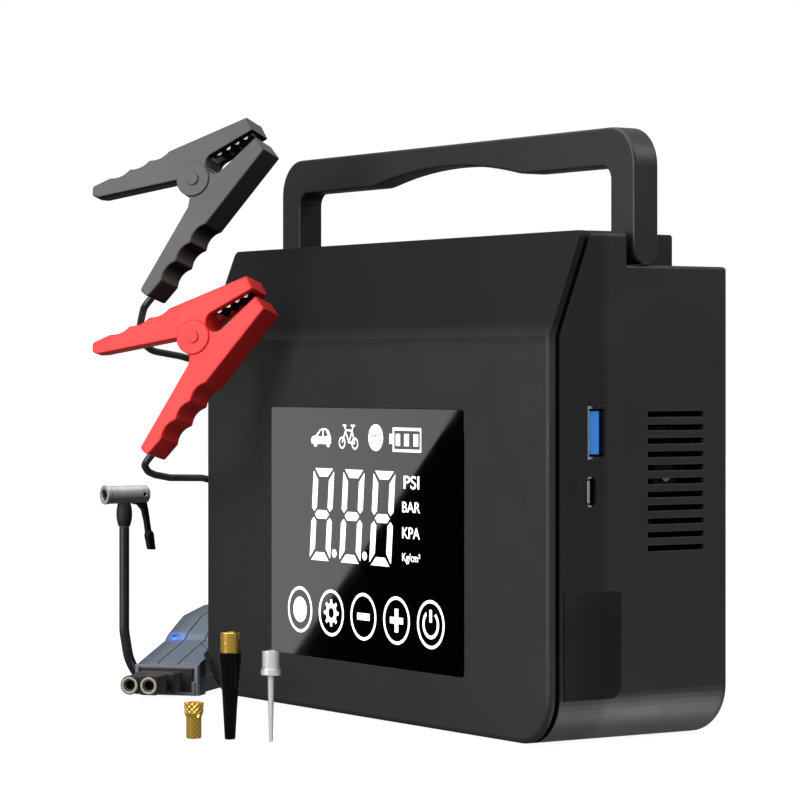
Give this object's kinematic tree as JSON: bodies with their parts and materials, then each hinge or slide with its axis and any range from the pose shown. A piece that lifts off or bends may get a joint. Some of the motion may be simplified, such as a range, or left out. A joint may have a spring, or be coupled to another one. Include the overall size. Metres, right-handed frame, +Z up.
{
  "type": "portable jump starter with tyre inflator",
  "caption": "Portable vehicle jump starter with built-in tyre inflator: screen, folding carry handle, side ports, clamp lead, air hose with lever chuck and loose nozzles",
  "frame": {"origin": "centre of the underside of the rubber base pad, on the floor under the middle of the unit", "axes": "+X to the right seen from the screen side, +Y to the back, +Z up"},
  "size_m": [0.2983, 0.1578, 0.2093],
  "materials": {
    "front_shell": "satin moulded black plastic",
    "rear_shell": "satin moulded black plastic",
    "soft_rubber": "black rubber",
    "screen_glass": "glossy black screen glass",
    "panel_black": "black display panel",
    "board_green": "circuit board",
    "metal_shell": "bright plated steel",
    "usb_blue": "blue connector plastic",
    "connector_black": "black connector plastic",
    "contact_brass": "gold plated contact",
    "clear_lens": "clear lens",
    "steel": "steel",
    "cell_wrap": "shrink-wrapped cell",
    "bracket_grey": "grey plastic",
    "fan_black": "black fan plastic",
    "gear_white": "white gear plastic",
    "cast_alloy": "cast alloy",
    "tube_clear": "air tube",
    "clamp_red": "red moulded plastic",
    "clamp_black": "black moulded plastic",
    "cable_black": "black cable sheath",
    "box_slate": "slate plastic",
    "collar_grey": "pale grey plastic",
    "led_blue": "blue lamp",
    "rim_ivory": "ivory rim",
    "chuck_chrome": "satin chrome",
    "brass_gold": "polished brass",
    "cone_black": "glossy black plastic",
    "needle_chrome": "bright chrome"
  },
  "bodies": {
    "unit": {"front_cover": "front_shell", "rear_housing": "rear_shell", "base_pad": "soft_rubber", "display_lens": "screen_glass", "display_module": "panel_black", "main_board": "board_green", "usb_a_shell": "metal_shell", "usb_a_tongue": "usb_blue", "usb_c_socket": "metal_shell", "ec5_socket": "connector_black", "ec5_socket_pins": "contact_brass", "led_lens": "clear_lens", "led_board": "board_green", "air_outlet": "brass_gold", "handle_pins": "steel", "housing_screws": "steel", "battery_cells": "cell_wrap", "battery_bracket": "bracket_grey", "bms_board": "board_green", "motor_can": "steel", "pump_body": "cast_alloy", "cylinder_head": "cast_alloy", "air_line": "tube_clear"},
    "handle": {"carry_handle": "front_shell"},
    "flap": {"port_flap": "soft_rubber"},
    "rotor": {"motor_rotor": "steel", "cooling_fan": "fan_black"},
    "gear": {"crank_gear": "gear_white"},
    "lead": {"smart_box_base": "box_slate", "smart_box_cover": "box_slate", "smart_box_collar": "collar_grey", "smart_box_board": "board_green", "smart_box_led": "led_blue", "ec5_plug": "connector_black", "ec5_plug_rims": "rim_ivory", "ec5_plug_contacts": "contact_brass", "red_cable": "cable_black", "black_cable": "cable_black", "red_clamp_lower": "clamp_red", "red_clamp_pin": "clamp_red", "red_clamp_spring": "steel", "red_teeth_lower": "metal_shell", "black_clamp_lower": "clamp_black", "black_clamp_pin": "clamp_black", "black_clamp_spring": "steel", "black_teeth_lower": "metal_shell"},
    "red_jaw": {"red_clamp_upper": "clamp_red", "red_teeth_upper": "metal_shell"},
    "black_jaw": {"black_clamp_upper": "clamp_black", "black_teeth_upper": "metal_shell"},
    "hose": {"air_hose": "cable_black", "hose_coupling": "brass_gold", "chuck_collar": "soft_rubber", "chuck_body": "chuck_chrome", "chuck_seal": "soft_rubber"},
    "lever": {"chuck_lever": "connector_black"},
    "presta": {"presta_adapter": "brass_gold"},
    "cone": {"cone_nozzle": "cone_black", "cone_collar": "brass_gold"},
    "needle": {"ball_needle": "needle_chrome"}
  },
  "joints": [
    {"name": "handle_fold", "type": "hinge", "parent": "unit", "child": "handle", "pos_m": [0, 0.00235, 0.159], "axis": [-1, 0, 0], "range_deg": [0, 90]},
    {"name": "port_flap_hinge", "type": "hinge", "parent": "unit", "child": "flap", "pos_m": [0.1072, -0.0294, 0.032], "axis": [0, 0, -1], "range_deg": [0, 90]},
    {"name": "motor_spin", "type": "hinge", "parent": "unit", "child": "rotor", "pos_m": [0.07, 0.0148, 0.085], "axis": [1, 0, 0], "continuous": true},
    {"name": "crank_gear_spin", "type": "hinge", "parent": "unit", "child": "gear", "pos_m": [0.044, 0.0148, 0.0628], "axis": [1, 0, 0], "continuous": true},
    {"name": "lead_lift_off", "type": "slide", "parent": "unit", "child": "lead", "axis": [0, 0, 1], "range_m": [0, 0.12]},
    {"name": "hose_pull_off", "type": "slide", "parent": "unit", "child": "hose", "axis": [-1, 0, 0], "range_m": [0, 0.01]},
    {"name": "chuck_lever_turn", "type": "hinge", "parent": "hose", "child": "lever", "pos_m": [-0.1369, -0.0478, 0.0733], "axis": [1, 0, 0], "range_deg": [0, 90]},
    {"name": "presta_lift_off", "type": "slide", "parent": "unit", "child": "presta", "axis": [0, 0, 1], "range_m": [0, 0.1]},
    {"name": "cone_lift_off", "type": "slide", "parent": "unit", "child": "cone", "axis": [0, 0, 1], "range_m": [0, 0.1]},
    {"name": "needle_lift_off", "type": "slide", "parent": "unit", "child": "needle", "axis": [0, 0, 1], "range_m": [0, 0.1]},
    {"name": "red_clamp_open", "type": "hinge", "parent": "lead", "child": "red_jaw", "pos_m": [-0.06573, -0.06251, 0.13048], "axis": [0.5752, -0.7991, 0.1747], "range_deg": [0, 36], "stiffness_Nm_per_rad": 0.05, "springref_deg": -11.46, "deforming": ["red_clamp_spring"]},
    {"name": "black_clamp_open", "type": "hinge", "parent": "lead", "child": "black_jaw", "pos_m": [-0.06573, -0.06251, 0.18648], "axis": [0.5752, -0.7991, 0.1747], "range_deg": [0, 36], "stiffness_Nm_per_rad": 0.05, "springref_deg": -11.46, "deforming": ["black_clamp_spring"]}
  ],
  "couplings": [
    {"joint": "crank_gear_spin", "follows": "motor_spin", "ratio": -0.26471}
  ]
}
